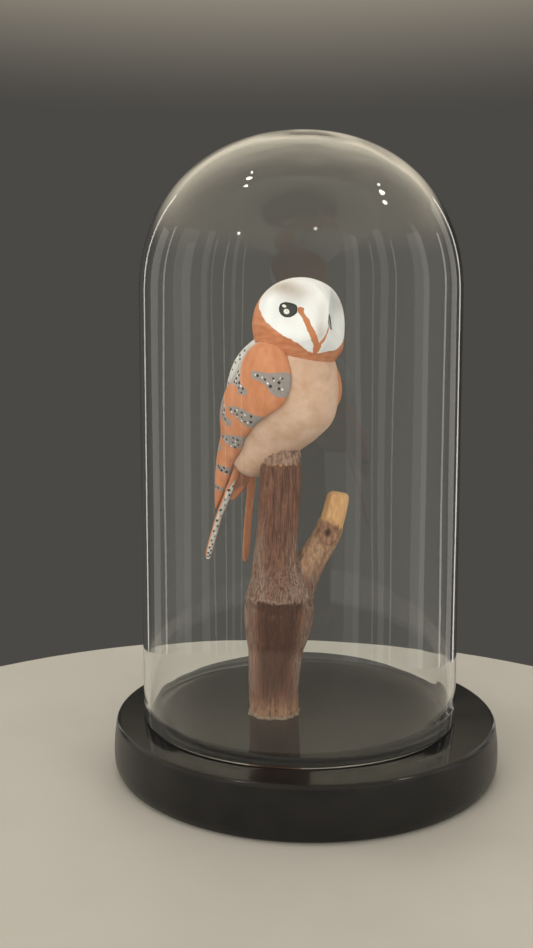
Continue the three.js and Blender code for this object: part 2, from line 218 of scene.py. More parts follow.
def skin(name, rings, material, ends=None, flip=False):
    """A closed skin over rings of points, an array of rings by sides by 3, and its two ends."""
    if ends is None:
        ends = rings[[0, -1]].mean(1)
    points = np.vstack([rings.reshape(-1, 3), ends])
    return make_object(name, points, ring_faces(*rings.shape[:2], flip), material)


def ring_turns(sides):
    """Even steps once round, in radians."""
    return np.linspace(0, 2 * math.pi, sides, endpoint=False)


def grid(first, second):
    return np.meshgrid(first, second, indexing="ij")


def revolve(name, profile, material, centre_x=0):
    """A closed turned solid; its profile of radii and heights starts and ends on the axis."""
    turn, (r, z) = ring_turns(TURNED_SIDES), np.array(profile, float).T[..., None]
    rings = np.stack([centre_x + r * np.cos(turn), r * np.sin(turn), z + 0 * turn], -1)
    return skin(name, rings[1:-1], material, rings[[0, -1], 0])


def attributes(made, **values):
    """A number to each point of the mesh, under each name, for its material to read."""
    for name, numbers in values.items():
        layer = made.data.attributes.new(name, "FLOAT", "POINT")
        layer.data.foreach_set("value", np.asarray(numbers, np.float32).ravel())


def mesh_vectors(mesh, name):
    """The points (co) or the normals (normal) of a mesh."""
    flat = np.zeros(len(mesh.vertices) * 3)
    mesh.vertices.foreach_get(name, flat)
    return flat.reshape(-1, 3)


def place(made, body, slot, *nodes):
    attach(made, body)
    if nodes:
        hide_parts(*nodes)


NOISE_RANGE = 0.3, 0.7  # where nearly all of a noise lies


class Nodes:
    """A material's or world's node tree. Its methods add nodes and give the socket they end in."""

    def __init__(self, owner, coordinates="Object", scale=1 / METRES):
        owner.use_nodes = True
        self.tree = owner.node_tree
        place = self.node("TexCoord", {}, coordinates)
        self.place = self.node("VectorMath", {0: place, "Scale": scale}, operation="SCALE")

    def node(self, kind, inputs, output=0, **settings):
        """Adds a node, fills its inputs by their names or numbers, and gives one of its outputs."""
        made = self.tree.nodes.new("ShaderNode" + kind)
        for key, value in settings.items():
            setattr(made, key, value)
        for key, value in inputs.items():
            self.join(value, made.inputs[key])
        return made.outputs[output]

    def join(self, value, socket):
        """Links a socket, or the attribute of a name, or sets a number, vector or colour."""
        if isinstance(value, str):
            value = self.node("Attribute", {}, "Fac", attribute_name=value)
        if isinstance(value, bpy.types.NodeSocket):
            self.tree.links.new(value, socket)
        else:
            socket.default_value = (*value, 1) if socket.type == "RGBA" else value

    def math(self, operation, a, b):
        return self.node("Math", {0: a, 1: b}, operation=operation)

    def noise(self, scale, stretch=(1, 1, 1), detail=3, roughness=0.55, at=0):
        """Noise, about 0 to 1, with features some 1 / scale millimetres wide."""
        start = {"Vector": self.place, "Location": (at, at, at), "Scale": stretch}
        inputs = {"Scale": scale, "Detail": detail, "Roughness": roughness}
        return self.node("TexNoise", {"Vector": self.node("Mapping", start), **inputs})

    def specks(self, scale, size):
        """1 in scattered round spots, 0 elsewhere."""
        distance = self.node("TexVoronoi", {"Vector": self.place, "Scale": scale}, "Distance")
        return self.step(distance, size, size * 0.6)

    def map_range(self, value, kind, *ends):
        inputs = zip(("Value", "From Min", "From Max", "To Min", "To Max"), (value, *ends))
        return self.node("MapRange", dict(inputs), interpolation_type=kind)

    def step(self, value, low, high):
        """0 below low rising smoothly to 1 above high, or falling where low is the higher."""
        ends = (low, high, 0, 1) if low < high else (high, low, 1, 0)
        return self.map_range(value, "SMOOTHSTEP", *ends)

    def span(self, value, low=0, high=1):
        """Noise spread over low to high."""
        return self.map_range(value, "LINEAR", *NOISE_RANGE, low, high)

    def mix(self, share, first, second):
        """A colour that goes from the first to the second."""
        return self.node("Mix", {0: share, 6: first, 7: second}, 2, data_type="RGBA")

    def between(self, value, first, second):
        """A colour that goes from the first to the second with noise."""
        return self.mix(self.span(value), first, second)

    def bump(self, height, distance, strength=1, **under):
        """The normal for relief of a depth in millimetres, over another one where given."""
        inputs = {"Height": height, "Distance": distance * METRES, "Strength": strength}
        return self.node("Bump", {**inputs, **under})

    def axis(self, name):
        """X, Y or Z, in millimetres in a material."""
        return self.node("SeparateXYZ", {0: self.place}, name)


class Material(Nodes):
    def __init__(self, name):
        self.made = bpy.data.materials.new(name)
        super().__init__(self.made)
        self.shader = self.tree.nodes["Principled BSDF"]

    def set(self, **values):
        """Fills the shader's inputs, an underscore for a space, and gives the material."""
        for key, value in values.items():
            self.join(value, self.shader.inputs[key.replace("_", " ")])
        return self.made


# -------- materials


LACQUER = (0.004, 0.004, 0.004), (0.008, 0.0075, 0.007)
DUST = (0.12, 0.11, 0.1)
SIDE_ROUGHNESS, LEDGE_ROUGHNESS, DISC_ROUGHNESS = (0.26, 0.34), (0.1, 0.17), (0.06, 0.13)


def base_material():
    m = Material("black_lacquer")
    cloudy = m.noise(0.06, detail=5)
    height = m.axis("Z")
    ledge = m.step(height, BASE_HEIGHT - 1.4, BASE_HEIGHT - 0.3)
    disc = m.step(height, PLATEAU_TOP - 0.6, PLATEAU_TOP - 0.3)
    upper = m.step(height, BASE_HEIGHT - 0.5, BASE_HEIGHT)
    dust = m.math("MULTIPLY", m.specks(0.22, 0.045), upper)
    side = m.mix(ledge, m.span(cloudy, *SIDE_ROUGHNESS), m.span(cloudy, *LEDGE_ROUGHNESS))
    return m.set(
        Base_Color=m.mix(dust, m.between(cloudy, *LACQUER), DUST),
        Roughness=m.mix(disc, side, m.span(cloudy, *DISC_ROUGHNESS)),
        Specular_IOR_Level=0.32,
        Normal=m.bump(m.noise(0.03, detail=1), 0.2),
    )


GLASS_TINT, GLASS_SHADOW, GLASS_IOR = (0.965, 0.98, 0.97), (0.94, 0.955, 0.95), 1.46
GLASS_ROUGHNESS = 0.0, 0.015


def glass_material():
    """Clear glass that lets light through to what stands inside it."""
    m = Material("clear_blown_glass")
    ripple = m.noise(0.035, (1, 1, 0.2), detail=1)
    through = m.node("BsdfTransparent", {"Color": GLASS_SHADOW})
    shadow = m.node("LightPath", {}, "Is Shadow Ray")
    both = m.node("MixShader", {0: shadow, 1: m.shader.outputs[0], 2: through})
    m.join(both, m.tree.nodes["Material Output"].inputs["Surface"])
    return m.set(
        Base_Color=GLASS_TINT,
        Roughness=m.span(m.noise(0.05, detail=5), *GLASS_ROUGHNESS),
        IOR=GLASS_IOR,
        Transmission_Weight=1.0,
        Normal=m.bump(ripple, 0.5),
    )


# Colours of the bark and the wood, each pair the darker and the lighter end of a noise.
BROWN_BARK = (0.04, 0.013, 0.008), (0.19, 0.074, 0.044)
# The lines' colour is partly painted highlight on the raised lines; the crevice colour is partly
# painted shade.
BARK_LINES_AND_HIGHLIGHT = (0.3, 0.155, 0.105)
BARK_CREVICE_SHADE, BARK_FURROW = (0.03, 0.012, 0.009), (0.018, 0.006, 0.004)
SMOOTH_BARK = (0.01, 0.003, 0.0015), (0.075, 0.019, 0.008)
GREY_SKIN = (0.06, 0.035, 0.027), (0.42, 0.31, 0.25)
CRUST = (0.16, 0.07, 0.035), (0.4, 0.24, 0.15)
TAN_BARK, TAN_LINES = ((0.17, 0.085, 0.05), (0.48, 0.29, 0.18)), (0.46, 0.32, 0.24)
BARE_WOOD = (0.5, 0.26, 0.11), (0.7, 0.43, 0.21)
CHEWED_WOOD = (0.1, 0.05, 0.035), (0.46, 0.3, 0.23)
ROUGH_KNOT, KNOT_HOLE = ((0.1, 0.042, 0.026), (0.3, 0.14, 0.085)), (0.045, 0.02, 0.013)


def upright_bark(m, lines, streaks, flakes):
    """Lined brown bark, smooth and dark in parts with painted shadow in the groove under its ring,
    a grey skin that is partly worn bark and partly painted sheen at the twig's sides, and a crusty
    foot.
    """
    strips = m.noise(1.6, (1, 1, 0.06), detail=5, at=60)
    furrows = m.noise(2.2, (1, 1, 0.03), detail=2, at=80)
    # Darker where the relief is low and lighter on the raised lines: partly the bark's own tones,
    # partly painted shade and highlight.
    crevice_shade = m.math("MULTIPLY", m.step("relief", 0.5, 0.1), 0.8)
    in_furrow = m.math("MULTIPLY", m.step(furrows, 0.43, 0.38), 0.7)
    brown = m.mix(m.span(lines, -0.4, 0.75), m.between(streaks, *BROWN_BARK), BARK_LINES_AND_HIGHLIGHT)
    brown = m.mix(crevice_shade, brown, BARK_CREVICE_SHADE)
    brown = m.mix("dark", brown, m.between(lines, *SMOOTH_BARK))
    brown = m.mix(in_furrow, brown, BARK_FURROW)
    grey = m.mix(m.span(lines, 0.1, 0.9), *GREY_SKIN)
    skin_left = m.math("MULTIPLY", "grey_skin", m.step(strips, 0.42, 0.56))
    crust = m.math("MULTIPLY", "crust", m.step(flakes, 0.36, 0.52))
    return m.mix(crust, m.mix(skin_left, brown, grey), m.between(lines, *CRUST))


def bark_material():
    m = Material("twig_bark")
    lines = m.noise(2.9, (1, 1, 0.045), detail=5, roughness=0.65)
    streaks = m.noise(0.8, (1, 1, 0.07), detail=4, at=17)
    flakes = m.noise(0.7, (1, 1, 0.5), detail=5, at=40)
    fibres = m.noise(1.4, (1, 1, 0.12), detail=4, at=9)
    rough = m.noise(2.2, (1, 1, 0.25), detail=4, at=3)
    tan_bark = m.mix(m.span(lines, -0.5, 0.5), m.between(flakes, *TAN_BARK), TAN_LINES)
    bark = m.mix("stub", upright_bark(m, lines, streaks, flakes), tan_bark)
    pale, chewed = m.between(fibres, *BARE_WOOD), m.between(flakes, *CHEWED_WOOD)
    wood = m.mix("chewed", pale, chewed)
    edge = m.math("ADD", "bare", m.math("MULTIPLY", m.span(flakes, -1, 1), 0.6))
    colour = m.mix(m.step(edge, -0.75, 0.75), bark, wood)
    colour = m.mix("rough_knot", colour, m.between(flakes, *ROUGH_KNOT))
    return m.set(
        Base_Color=m.mix("knot", colour, KNOT_HOLE),
        Roughness=m.span(streaks, 0.45, 0.72),
        Normal=m.bump(lines, 0.35, Normal=m.bump(rough, 0.2)),
    )


GLUE_AND_CHIPS = (0.06, 0.035, 0.022), (0.34, 0.24, 0.17)


def glue_material():
    m = Material("clear_glue_and_chips")
    crumbs = m.noise(0.9, detail=4)
    tone = m.between(crumbs, *GLUE_AND_CHIPS)
    return m.set(Base_Color=tone, Roughness=m.span(crumbs, 0.25, 0.6), Normal=m.bump(crumbs, 0.3))


class Paint(Material):
    """Paint with brush strokes in its tone and its relief."""

    def __init__(self, name, scale, stretch=(1, 1, 1)):
        super().__init__(name)
        self.strokes = self.noise(scale, stretch, detail=4, roughness=0.6)
        fine = self.bump(self.noise(scale * 6, stretch, detail=2), 0.03)
        self.set(Normal=self.bump(self.strokes, 0.16, 0.8, Normal=fine))

    def patch(self, name, inside, outside, wander=0.35):
        """The colours in and round a painted outline whose edge wanders by so many millimetres."""
        off = self.math("MULTIPLY", self.span(self.noise(0.7, detail=2), -1, 1), wander)
        edge = self.step(self.math("ADD", name, off), -SOFT, SOFT)
        return self.mix(edge, outside, inside)

    def finish(self, colour, roughness):
        return self.set(Base_Color=colour, Roughness=self.span(self.strokes, *roughness))


ORANGE, DEEP_ORANGE, LIGHT_ORANGE = (0.5, 0.18, 0.076), (0.45, 0.135, 0.045), (0.62, 0.265, 0.138)
GREY_PAINT, LIGHT_GREY, PALE_GREY = (0.25, 0.215, 0.205), (0.34, 0.3, 0.29), (0.47, 0.445, 0.43)
MANTLE_GREY = (0.57, 0.55, 0.54), (0.72, 0.7, 0.69)
PRONG_GREY, PRONG_SHADE = ((0.58, 0.56, 0.54), (0.74, 0.73, 0.71)), (0.17, 0.11, 0.085)
CREAM, LIGHT_CREAM, MAUVE_GREY = (0.56, 0.35, 0.235), (0.72, 0.5, 0.395), (0.27, 0.22, 0.2)
WHITE_PAINT = (0.8, 0.81, 0.84), (0.87, 0.875, 0.9)
BROW_SHADE, NOSE_SHADE, FAR_SHADE = (0.43, 0.36, 0.32), (0.4, 0.34, 0.3), (0.44, 0.49, 0.52)
EYE_BLACK, PUPIL_GREY = (0.012, 0.012, 0.012), (0.035, 0.037, 0.035)
GLINT_WHITE, GLINT_GREY = (0.87, 0.87, 0.84), (0.55, 0.55, 0.53)
DOT_PAINTS = (
    ((0.012, 0.012, 0.012), (0.03, 0.028, 0.026)), ((0.72, 0.71, 0.68), (0.88, 0.87, 0.84)),
)
BRUSHED_ROUGHNESS, HEAD_ROUGHNESS, TAIL_ROUGHNESS = (0.42, 0.55), (0.38, 0.5), (0.42, 0.56)
SHARP, SOFT = 0.07, 0.09  # half the width in millimetres over which a painted edge fades


def wing_material():
    m = Paint("wing_paint_orange_and_grey", 0.3, (1, 1, 0.35))
    tone = m.between(m.strokes, ORANGE, LIGHT_ORANGE)
    # Darker, deeper orange towards the wing's tip.
    tone = m.mix(m.step("worn", 0, 1), tone, DEEP_ORANGE)
    grey = m.between(m.noise(1.2, detail=3, at=5), GREY_PAINT, LIGHT_GREY)
    grey = m.mix("pale", grey, PALE_GREY)
    return m.finish(m.patch("grey", grey, tone), BRUSHED_ROUGHNESS)


def trunk_material():
    m = Paint("body_paint_cream", 0.16)
    tone = m.between(m.strokes, CREAM, LIGHT_CREAM)
    grey = m.between(m.noise(0.8, detail=3, at=5), *MANTLE_GREY)
    grey = m.mix("mauve", grey, MAUVE_GREY)
    return m.finish(m.patch("mantle", grey, tone), BRUSHED_ROUGHNESS)


def head_material():
    m = Paint("head_paint_white_and_orange", 0.3)
    long_strokes = m.noise(0.55, (0.35, 0.35, 1.3), detail=4, at=12)
    orange = m.between(long_strokes, DEEP_ORANGE, LIGHT_ORANGE)
    soft = m.noise(0.12, detail=3, at=30)
    # Painted shade over the white under the brow, beside the bill and beside the ridge, partly also
    # grey airbrushing.
    brow = m.math("MULTIPLY", "brow", m.span(soft, 0.75, 1.1))
    white = m.mix(brow, m.between(m.strokes, *WHITE_PAINT), BROW_SHADE)
    white = m.mix("nose_shade", white, NOSE_SHADE)
    white = m.mix("far_shade", white, FAR_SHADE)
    face = m.patch("bill", ORANGE, white, 0.22)
    eye = m.mix(m.step("eye", 0.5, 0.9), EYE_BLACK, PUPIL_GREY)
    for mark, colour in (("eye", eye), ("glint", GLINT_WHITE), ("glint_mark", GLINT_GREY)):
        face = m.mix(m.step(mark, -SHARP, SHARP), face, colour)
    return m.finish(m.patch("face", face, orange, 0.2), HEAD_ROUGHNESS)


def tail_material():
    m = Paint("tail_paint", 0.5, (1, 1, 0.3))
    tone = m.mix("shade", m.between(m.strokes, ORANGE, LIGHT_ORANGE), PRONG_SHADE)
    grey = m.between(m.strokes, *PRONG_GREY)
    return m.finish(m.patch("grey", grey, tone, 0.12), TAIL_ROUGHNESS)


def dab_material(name, dark, light):
    m = Material(name)
    uneven = m.noise(3.0, detail=2)
    return m.set(
        Base_Color=m.between(uneven, dark, light),
        Roughness=m.span(uneven, 0.3, 0.45),
        Normal=m.bump(uneven, 0.03),
    )


# -------- base and dome


BASE_ROUNDING, TURNED_SIDES = 2.5, 192


def rounded(profile, radius, steps=5):
    """The profile with its corners, but not its two ends, turned into small arcs."""
    points = [np.array(p, float) for p in profile]
    made = [points[0]]
    for before, corner, after in zip(points, points[1:], points[2:]):
        reach_in, reach_out = before - corner, after - corner
        cut = min(radius, 0.45 * np.linalg.norm(reach_in), 0.45 * np.linalg.norm(reach_out))
        start, stop = corner + unit(reach_in) * cut, corner + unit(reach_out) * cut
        for t in np.linspace(0, 1, steps):
            made.append(start * (1 - t) ** 2 + 2 * corner * t * (1 - t) + stop * t**2)
    return [*made, points[-1]]


def base_profile():
    ease, top = PLATEAU_EASE, PLATEAU_TOP
    disc = [
        (PLATEAU_RADIUS + ease, BASE_HEIGHT), (PLATEAU_RADIUS, BASE_HEIGHT + ease),
        (PLATEAU_RADIUS, top - ease), (PLATEAU_RADIUS - ease, top),
    ]
    return rounded([(0, 0), *BASE_SIDE, *disc, (0, top)], BASE_ROUNDING)


def crown(inset, steps=40):
    """The dome's crown from its side to its top, as (radius, height)."""
    turn = np.linspace(0, math.pi / 2, steps)
    out = np.cos(turn).clip(0) ** (2 / CROWN_POWER) * (DOME_RADIUS - inset)
    up = np.sin(turn) ** (2 / CROWN_POWER) * (CROWN_HEIGHT - inset)
    out[-1] = 0
    return list(zip(out, DOME_TOP - CROWN_HEIGHT + up))


def make_dome(material):
    """One closed surface: down inside from the crown, round the lip and up outside."""
    inner, middle = DOME_RADIUS - DOME_WALL, DOME_RADIUS - DOME_WALL / 2
    walls = np.linspace(BASE_HEIGHT + LIP, DOME_TOP - CROWN_HEIGHT, 24)
    lip = [
        (middle - DOME_WALL / 2 * math.cos(t), BASE_HEIGHT + LIP * (1 - math.sin(t)))
        for t in np.linspace(0, math.pi, 9)
    ]
    profile = [
        *crown(DOME_WALL)[::-1], *[(inner, z) for z in walls[-2:0:-1]],
        *lip, *[(DOME_RADIUS, z) for z in walls[1:-1]], *crown(0),
    ]
    return revolve("dome_glass", profile, material, DOME_X)


# -------- the twig


BARK_RIDGES = 0.035  # height of the broad ridges, as a share of the radius


def bark_reach(turn, height, phase=0):
    broad = np.cos(7 * turn + 0.036 * height + phase)
    fine = np.cos(11 * turn - 0.06 * height - phase)
    return 1 + BARK_RIDGES * (0.65 * broad + 0.35 * fine)


def round_section(phase):
    def section(station, turn):
        reach = station[..., 3] * bark_reach(turn, station[..., 2], phase)
        return reach * np.cos(turn), reach * np.sin(turn)

    return section


def flat_section(station, turn):
    return station[..., 3] * np.cos(turn), station[..., 4] * np.sin(turn)


def limb_point(stations, share, turn, across, section):
    """Points on a limb through stations of x, y, z and sizes, at shares of its length and turns."""
    last = len(stations) - 1
    rows = [[i / last, *row] for i, row in enumerate(stations)]
    behind, here, ahead = [
        np.moveaxis(read_table(rows, np.clip(share + step, 0, 1)), 0, -1)
        for step in (-0.01, 0, 0.01)
    ]
    along = unit(ahead[..., :3] - behind[..., :3])
    side = unit(across - along * (along @ np.asarray(across, float))[..., None])
    a, b = section(here, turn)
    return here[..., :3] + a[..., None] * side + b[..., None] * np.cross(along, side)


def limb_rings(stations, count, sides, across, section):
    share, turn = grid(np.linspace(0, 1, count), ring_turns(sides))
    return limb_point(stations, share, turn, across, section)


VOXEL, SMOOTHING_ROUNDS = 0.36, 4


def twig_surface(material):
    """The twig and its stub joined in one skin by a voxel remesh."""
    main = skin("twig", limb_rings(TWIG, 140, 96, (1, 0, 0), round_section(0)), material)
    stub = skin("stub", limb_rings(STUB, 60, 72, (1, 0, 0), round_section(6)), material)
    joined = main.modifiers.new("join", "BOOLEAN")
    joined.operation, joined.object, joined.solver = "UNION", stub, "EXACT"
    remesh = main.modifiers.new("remesh", "REMESH")
    remesh.mode, remesh.voxel_size = "VOXEL", VOXEL * METRES
    smooth = main.modifiers.new("smooth", "SMOOTH")
    smooth.iterations, smooth.factor = SMOOTHING_ROUNDS, 0.5
    graph = bpy.context.evaluated_depsgraph_get()
    mesh = bpy.data.meshes.new_from_object(main.evaluated_get(graph))
    for gone in (main, stub):
        bpy.data.objects.remove(gone)
    mesh.materials.clear()
    mesh.materials.append(material)
    return mesh


KNOT, KNOT_HOLE_SIZE, KNOT_DEPTH = np.array([9.4, -15.2, 103.6]), (0.7, 2.3), 1.2
KNOT_RIM, KNOT_RIM_WIDTH, KNOT_RIM_HEIGHT = 3.5, 1.4, 0.75
SCAR, SCAR_WIDTH, SCAR_HEIGHT = 76.0, 0.7, 0.45  # the ring round the twig's swelling
GROOVE_BELOW, GROOVE_WIDTH = 2.4, 1.8
BARE_FROM, BARE_DEPTH, CHEWED_FROM = 107.4, 0.35, 133.6


def limb_axis(stations, z):
    """The middle line's x and y and the radius at a height."""
    x, y, height, radius = np.array(stations).T
    return [np.interp(z, height, column) for column in (x, y, radius)]


def make_twig(material):
    """The twig with its relief and the masks that its material paints by."""
    mesh = twig_surface(material)
    made = add_object("perch_twig", mesh)
    points, normals = mesh_vectors(mesh, "co") / METRES, mesh_vectors(mesh, "normal")
    x, y, z = points.T
    centre, centre_y, radius = limb_axis(TWIG, z)
    stub_x, stub_y, stub_radius = limb_axis(STUB, z)
    off_twig = np.hypot(x - centre, y - centre_y) - radius
    off_stub = np.hypot((x - stub_x) * 0.86, y - stub_y) - stub_radius
    stub = smoothstep(off_twig - off_stub, -0.5, 2.5) * smoothstep(z, 82, 92)
    upright = 1 - stub

    ridges = 1 - 2 * np.abs(noise_at(points, 0.62, 3.1, (1, 1, 0.05)))
    fine = noise_at(points, 1.5, 7.7, (1, 1, 0.1))
    scales = noise_at(points, 0.6, 21.3, (1, 1, 0.6))
    bare_height = z + 1.6 * scales + 2.2 * (x - stub_x) / stub_radius
    bare = smoothstep(bare_height, BARE_FROM - 1.5, BARE_FROM + 1.5) * stub
    chewed = smoothstep(z + 1.8 * scales, CHEWED_FROM - 0.8, CHEWED_FROM + 0.6) * upright
    swelling = bell(z - SCAR, 13)
    over_scar = z - SCAR - 1.3 * scales
    scar = bell(over_scar, SCAR_WIDTH) * upright
    groove = bell(over_scar + GROOVE_BELOW, GROOVE_WIDTH) * upright
    from_knot = np.linalg.norm((points - KNOT) * (1, 0.4, 0.85), axis=1)
    from_knot += 1.1 * scales + 0.5 * fine
    knot = 1 - smoothstep(from_knot, *KNOT_HOLE_SIZE)
    knot_rim = bell(from_knot - KNOT_RIM, KNOT_RIM_WIDTH)

    bark = 0.4 * (ridges - 0.35) + 0.2 * fine + 0.3 * swelling * scales
    relief = bark * (1 - 0.55 * stub) * (1 - bare) * (1 - chewed) + SCAR_HEIGHT * (scar - groove)
    relief += chewed * (0.9 * scales + 0.5 * fine - 0.7) - BARE_DEPTH * bare
    relief += KNOT_RIM_HEIGHT * knot_rim - KNOT_DEPTH * knot
    moved = points + normals * (relief * smoothstep(z, PLATEAU_TOP, 26))[:, None]
    moved[:, 2] = np.clip(moved[:, 2], PLATEAU_TOP + 0.05, None)
    mesh.vertices.foreach_set("co", (moved * METRES).ravel())
    mesh.polygons.foreach_set("use_smooth", [True] * len(mesh.polygons))
    mesh.update()

    above = smoothstep(over_scar, -0.6, 0.4)
    sideways = np.abs(x - centre) / radius
    # Paler grey towards the twig's sides as seen from the front: partly grey bark skin, partly
    # painted sheen.
    skin_above = smoothstep(np.abs(x - centre), 3, 9) * smoothstep(z, 118, 92) + 0.6 * swelling
    peeled_and_sheen = smoothstep(sideways, 0.6, 0.85) * (1 - above) * smoothstep(z, 30, 44)
    dark = 0.8 * smoothstep(sideways, 0.75, 0.4) * (1 - above) * smoothstep(z, 30, 42)
    attributes(
        made,
        relief=0.5 + 0.5 * ridges,
        grey_skin=np.clip(above * skin_above + scar + 0.85 * peeled_and_sheen, 0, 1) * upright,
        stub=stub,
        bare=np.maximum(bare, chewed) * 2 - 1,
        chewed=chewed,
        knot=knot,
        rough_knot=np.clip(knot_rim * 0.8 + 0.4 * knot_rim * scales, 0, 1),
        # dark: smooth dark bark below the ring, plus painted shadow in the groove under the ring.
        dark=np.clip(dark + 0.7 * groove, 0, 0.9) * upright,
        crust=smoothstep(z, 35, 27),
    )
    return made


def make_glue(material):
    """A ragged bead of glue and crumbs round the twig's foot."""
    x, y, height, radius = TWIG[0]
    around, turn = grid(ring_turns(12), ring_turns(180))
    circle = np.stack([np.cos(turn) * 4, np.sin(turn) * 4, 0 * turn], -1)
    wide = (0.8 + 1.1 * noise_at(circle, 1.3, 5.5)).clip(0.25)
    tall = 1.1 + 1.3 * noise_at(circle, 2.1, 8.8).clip(0)
    out = radius * bark_reach(turn, height) + 0.1 + wide * np.cos(around)
    up = height + 0.06 + tall * np.sin(around).clip(0) + 0.05 * np.sin(around)
    rings = np.stack([x + out * np.cos(turn), y + out * np.sin(turn), up], -1)
    return make_object("glue_bead", rings, band_faces(*turn.shape, closed=True), material)


# -------- the owl's frame

LEAN = math.radians(OWL_LEAN)
AXIS = np.array([math.sin(LEAN), 0, math.cos(LEAN)])
BELLYWARD = np.array([math.cos(LEAN), 0, -math.sin(LEAN)])


def owl_to_world(points):
    return turned(points, OWL_HEADING - 90) + np.array(OWL_AT)


def body_point(along, out, sideways):
    """A point from its distance along the trunk's axis, towards the belly and to the owl's left."""
    flat = np.asarray(RUMP) + along[..., None] * AXIS + out[..., None] * BELLYWARD
    return flat + np.stack([0 * sideways, sideways, 0 * sideways], -1)


def section_point(table, along, turn, close, grow, side=1):
    """A point on an oval section of a body's table, closed in and grown outward."""
    belly, back, half_width = read_table(table, along)
    out = (belly + back) / 2 + ((belly - back) / 2 * close + grow) * np.cos(turn)
    return body_point(along, out, side * (half_width * close + grow) * np.sin(turn))


def closing(along, start, end, round_start, round_end):
    """1, or less where a form closes in a round end."""
    low = np.clip(1 - (along - start) / round_start, 0, 1)
    high = np.clip(1 - (end - along) / round_end, 0, 1)
    return np.sqrt(1 - low**2) * np.sqrt(1 - high**2)


def trunk_point(along, turn):
    """The trunk's skin at a distance along its axis and a turn round from the belly."""
    close = closing(along, TRUNK_START, TRUNK_END, *TRUNK_ROUND)
    rear = read_table(WING, along)[1]
    past = np.abs(math.pi - np.mod(turn, 2 * math.pi))
    edge = math.pi - np.radians(rear + MANTLE_GAP)
    lift = MANTLE_LIFT * smoothstep(edge - past, 0, math.radians(MANTLE_EDGE))
    lift = lift * (1 - smoothstep(along, *NAPE_FADE)) * close
    return section_point(TRUNK, along, turn, close, lift)


def wing_span(side):
    """Where a wing ends below and above, along the trunk's axis; side is -1 right and 1 left."""
    if side < 0:
        return WING_TIP, WING_SHOULDER
    return WING_TIP + LEFT_SHORTER, WING_SHOULDER - LEFT_LOWER


def wing_point(along, across, side, inner=False):
    """The wing's skin at a distance along the trunk's axis and a share across, -1 in front to 1
    behind, and its turn in degrees. Inner is the side that faces the body."""
    tip, shoulder = wing_span(side)
    front, rear, thickness = read_table(WING, along)
    close = closing(along, tip, shoulder, *WING_ROUND)
    turn = np.radians(front + rear) / 2 + np.radians(rear - front) / 2 * close * across
    lift = thickness * np.sqrt(close) * np.sqrt(np.clip(1 - across**2, 0, 1)) ** 0.8
    grow = WING_CLEARANCE - 0.4 if inner else WING_CLEARANCE + WING_RIM + lift
    return section_point(UNDER_WING, along, turn, 1, grow, side), np.degrees(turn)


def spot(turn, rise, at_turn, at_rise, wide, tall):
    """1 at a place on the head in degrees, falling off smoothly round it."""
    return np.exp(-(((turn - at_turn) / wide) ** 2) - ((rise - at_rise) / tall) ** 2)


def head_reach(directions):
    """How far the head's skin lies out in each direction, with the direction's turn and rise."""
    x, y, z = np.moveaxis(directions, -1, 0)
    height = np.where(z > 0, HEAD_HEIGHT, HEAD_CHIN)
    round_form = 1 / np.sqrt((x / HEAD_DEPTH) ** 2 + (y / HEAD_WIDTH) ** 2 + (z / height) ** 2)
    turn, rise = np.degrees(np.arctan2(y, x)), np.degrees(np.arcsin(np.clip(z, -1, 1)))
    outward = np.abs(turn) - DISC_TURN
    across = outward / np.where(outward > 0, DISC_OUTER, DISC_TURN)
    up = (rise - DISC_RISE) / np.where(rise > DISC_RISE, DISC_UP, DISC_DOWN)
    inside = np.clip(1 - across**2 - up**2, 0, 1)
    hollow = DISC_DEPTH * inside ** (1 + smoothstep(np.abs(turn) / DISC_TURN, 0, 1))
    bill = BILL_LIFT * spot(turn, rise, 0, BILL_RISE, BILL_WIDE, BILL_TALL)
    return round_form - hollow + bill, turn, rise


def head_to_owl(points):
    a = math.radians(HEAD_ROLL)
    x, y, z = np.moveaxis(points, -1, 0)
    rolled = np.stack([x, y * math.cos(a) - z * math.sin(a), y * math.sin(a) + z * math.cos(a)], -1)
    return turned(rolled, HEAD_TURN) + np.array(HEAD_AT)


def steps_between(start, end, count):
    """Steps that are closer together towards both ends."""
    return start + (end - start) * (1 - np.cos(np.pi * np.arange(1, count) / count)) / 2


# -------- painted outlines

DEGREE = 0.33  # millimetres to a degree round the body, about

